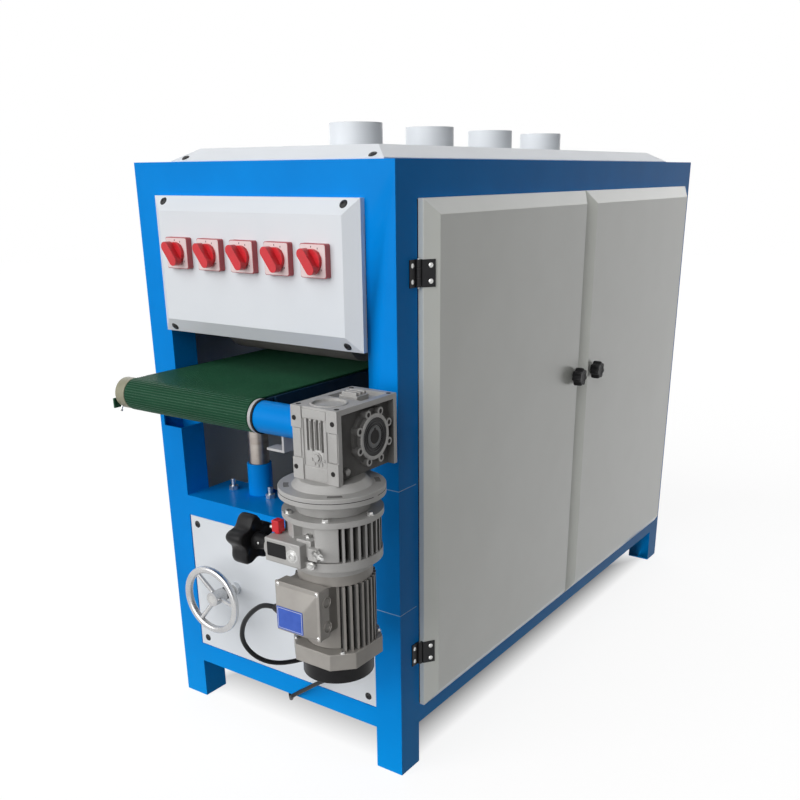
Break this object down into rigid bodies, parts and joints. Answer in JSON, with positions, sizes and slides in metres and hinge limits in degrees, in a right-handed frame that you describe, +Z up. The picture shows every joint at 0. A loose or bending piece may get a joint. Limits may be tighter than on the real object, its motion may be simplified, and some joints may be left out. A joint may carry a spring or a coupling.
{
  "type": "panel sander",
  "caption": "Through-feed panel sander: welded cabinet with dust ports, side doors, a lifting belt table driven by a geared motor, and powered sanding rollers.",
  "frame": {"origin": "middle of the footprint of the whole machine without its cord, on the floor", "axes": "+Z up, -Y towards the infeed end with the switches, +X towards the doors"},
  "size_m": [0.8206, 2.0761, 1.396],
  "materials": {
    "blue_paint": "glossy azure paint",
    "white_paint": "smooth off-white powder coat",
    "door_paint": "high-gloss warm grey paint",
    "black_steel": "black oxide",
    "bright_steel": "machined and zinc plated",
    "chrome": "polished",
    "red_plastic": "glossy moulded",
    "switch_plate": "pale face in a red rim",
    "black_plastic": "satin moulded",
    "cast_aluminium": "die cast",
    "motor_paint": "warm grey metallic paint",
    "bronze": "machined",
    "belt_rubber": "dark green, fine cross ribs",
    "olive_paint": "dull olive grey",
    "roller_steel": "abrasive covered drum",
    "cast_iron": "raw casting",
    "cord_rubber": "matt black sheath"
  },
  "bodies": {
    "frame": {"frame_posts": "blue_paint", "left_posts": "blue_paint", "frame_rails": "blue_paint", "switch_panel": "white_paint", "lower_front_panel": "white_paint", "left_side_panels": "white_paint", "rear_panels": "white_paint", "top_cover": "white_paint", "dust_ports": "white_paint", "panel_screws": "black_steel", "hinge_frame_leaves": "black_steel", "hinge_pins": "bright_steel", "rotary_switches": "switch_plate", "lift_sleeves": "blue_paint", "frame_bolts": "bright_steel", "lift_bearings": "cast_iron", "head_beams": "blue_paint", "bearing_blocks": "cast_iron", "sanding_motors": "motor_paint", "rail_grommet": "cord_rubber"},
    "table": {"conveyor_bed": "blue_paint", "lift_columns": "chrome", "conveyor_belt": "belt_rubber", "roller_bearings": "olive_paint", "drive_tube": "blue_paint", "gearbox_housing": "cast_aluminium", "drive_flange": "cast_aluminium", "variator_housing": "cast_aluminium", "variator_control_box": "cast_aluminium", "motor_housing": "motor_paint", "motor_end_shield": "motor_paint", "terminal_box": "motor_paint", "fan_cover": "black_plastic", "cord_gland": "black_plastic", "motor_cord": "cord_rubber"},
    "handwheel": {"handwheel": "chrome", "lift_shaft": "bright_steel"},
    "lift_screw_front": {"lift_screw_front": "bright_steel"},
    "lift_screw_rear": {"lift_screw_rear": "bright_steel"},
    "belt_drive": {"drive_roller": "bright_steel", "worm_wheel": "bronze"},
    "idler": {"idler_roller": "bright_steel"},
    "worm": {"worm_shaft": "bright_steel"},
    "motor": {"motor_rotor": "bright_steel"},
    "variator_knob": {"variator_knob": "black_plastic"},
    "front_door": {"front_door": "door_paint", "front_door_hinge_leaves": "black_steel"},
    "rear_door": {"rear_door": "door_paint", "rear_door_hinge_leaves": "black_steel"},
    "front_door_knob": {"front_door_knob": "black_plastic"},
    "rear_door_knob": {"rear_door_knob": "black_plastic"},
    "switch_knob_1": {"switch_knob_1": "red_plastic"},
    "switch_knob_2": {"switch_knob_2": "red_plastic"},
    "switch_knob_3": {"switch_knob_3": "red_plastic"},
    "switch_knob_4": {"switch_knob_4": "red_plastic"},
    "switch_knob_5": {"switch_knob_5": "red_plastic"},
    "sanding_roller_1": {"sanding_roller_1": "roller_steel"},
    "sanding_roller_2": {"sanding_roller_2": "roller_steel"},
    "sanding_roller_3": {"sanding_roller_3": "roller_steel"},
    "sanding_roller_4": {"sanding_roller_4": "roller_steel"}
  },
  "joints": [
    {"name": "table_lift", "type": "slide", "parent": "frame", "child": "table", "axis": [0, 0, 1], "range_m": [-0.06, 0.015], "deforming": ["motor_cord"]},
    {"name": "handwheel_turn", "type": "hinge", "parent": "frame", "child": "handwheel", "pos_m": [-0.16825, -0.71893, 0.347], "axis": [0, 1, 0], "range_deg": [-2160, 540]},
    {"name": "lift_screw_front_turn", "type": "hinge", "parent": "frame", "child": "lift_screw_front", "pos_m": [-0.16825, -0.60893, 0.347], "axis": [0, 0, 1], "range_deg": [-540, 2160]},
    {"name": "lift_screw_rear_turn", "type": "hinge", "parent": "frame", "child": "lift_screw_rear", "pos_m": [-0.16825, 0.76107, 0.347], "axis": [0, 0, 1], "range_deg": [-2160, 540]},
    {"name": "motor_spin", "type": "hinge", "parent": "table", "child": "motor", "pos_m": [0.31025, -0.91493, 0.445], "axis": [0, 0, 1], "continuous": true},
    {"name": "worm_spin", "type": "hinge", "parent": "table", "child": "worm", "pos_m": [0.31025, -0.91493, 0.838], "axis": [0, 0, 1], "continuous": true},
    {"name": "belt_drive_spin", "type": "hinge", "parent": "table", "child": "belt_drive", "pos_m": [-0.02825, -0.85093, 0.838], "axis": [1, 0, 0], "continuous": true},
    {"name": "idler_spin", "type": "hinge", "parent": "table", "child": "idler", "pos_m": [-0.02825, 1.00307, 0.838], "axis": [1, 0, 0], "continuous": true},
    {"name": "variator_knob_turn", "type": "hinge", "parent": "table", "child": "variator_knob", "pos_m": [0.23175, -0.98893, 0.64], "axis": [1, 0, 0], "range_deg": [0, 1080]},
    {"name": "front_door_swing", "type": "hinge", "parent": "frame", "child": "front_door", "pos_m": [0.32705, -0.65293, 0.1535], "axis": [0, 0, -1], "range_deg": [0, 110]},
    {"name": "rear_door_swing", "type": "hinge", "parent": "frame", "child": "rear_door", "pos_m": [0.32705, 0.80507, 0.1535], "axis": [0, 0, 1], "range_deg": [0, 110]},
    {"name": "front_door_knob_turn", "type": "hinge", "parent": "front_door", "child": "front_door_knob", "pos_m": [0.35425, 0.02107, 0.797], "axis": [1, 0, 0], "range_deg": [0, 90]},
    {"name": "rear_door_knob_turn", "type": "hinge", "parent": "rear_door", "child": "rear_door_knob", "pos_m": [0.35425, 0.13107, 0.797], "axis": [-1, 0, 0], "range_deg": [0, 90]},
    {"name": "switch_knob_1_turn", "type": "hinge", "parent": "frame", "child": "switch_knob_1", "pos_m": [-0.21625, -0.75093, 1.134], "axis": [0, 1, 0], "range_deg": [0, 90]},
    {"name": "switch_knob_2_turn", "type": "hinge", "parent": "frame", "child": "switch_knob_2", "pos_m": [-0.12225, -0.75093, 1.134], "axis": [0, 1, 0], "range_deg": [0, 90]},
    {"name": "switch_knob_3_turn", "type": "hinge", "parent": "frame", "child": "switch_knob_3", "pos_m": [-0.02825, -0.75093, 1.134], "axis": [0, 1, 0], "range_deg": [0, 90]},
    {"name": "switch_knob_4_turn", "type": "hinge", "parent": "frame", "child": "switch_knob_4", "pos_m": [0.06575, -0.75093, 1.134], "axis": [0, 1, 0], "range_deg": [0, 90]},
    {"name": "switch_knob_5_turn", "type": "hinge", "parent": "frame", "child": "switch_knob_5", "pos_m": [0.15975, -0.75093, 1.134], "axis": [0, 1, 0], "range_deg": [0, 90]},
    {"name": "sanding_roller_1_spin", "type": "hinge", "parent": "frame", "child": "sanding_roller_1", "pos_m": [-0.02825, -0.49393, 0.961], "axis": [1, 0, 0], "continuous": true},
    {"name": "sanding_roller_2_spin", "type": "hinge", "parent": "frame", "child": "sanding_roller_2", "pos_m": [-0.02825, -0.11393, 0.961], "axis": [1, 0, 0], "continuous": true},
    {"name": "sanding_roller_3_spin", "type": "hinge", "parent": "frame", "child": "sanding_roller_3", "pos_m": [-0.02825, 0.26607, 0.961], "axis": [1, 0, 0], "continuous": true},
    {"name": "sanding_roller_4_spin", "type": "hinge", "parent": "frame", "child": "sanding_roller_4", "pos_m": [-0.02825, 0.64607, 0.961], "axis": [1, 0, 0], "continuous": true}
  ],
  "couplings": [
    {"joint": "handwheel_turn", "follows": "table_lift", "rad_per_m": 628.32},
    {"joint": "lift_screw_front_turn", "follows": "table_lift", "rad_per_m": -628.32},
    {"joint": "lift_screw_rear_turn", "follows": "table_lift", "rad_per_m": 628.32},
    {"joint": "worm_spin", "follows": "motor_spin", "ratio": 0.5},
    {"joint": "belt_drive_spin", "follows": "motor_spin", "ratio": 0.033333},
    {"joint": "idler_spin", "follows": "motor_spin", "ratio": 0.033333}
  ]
}
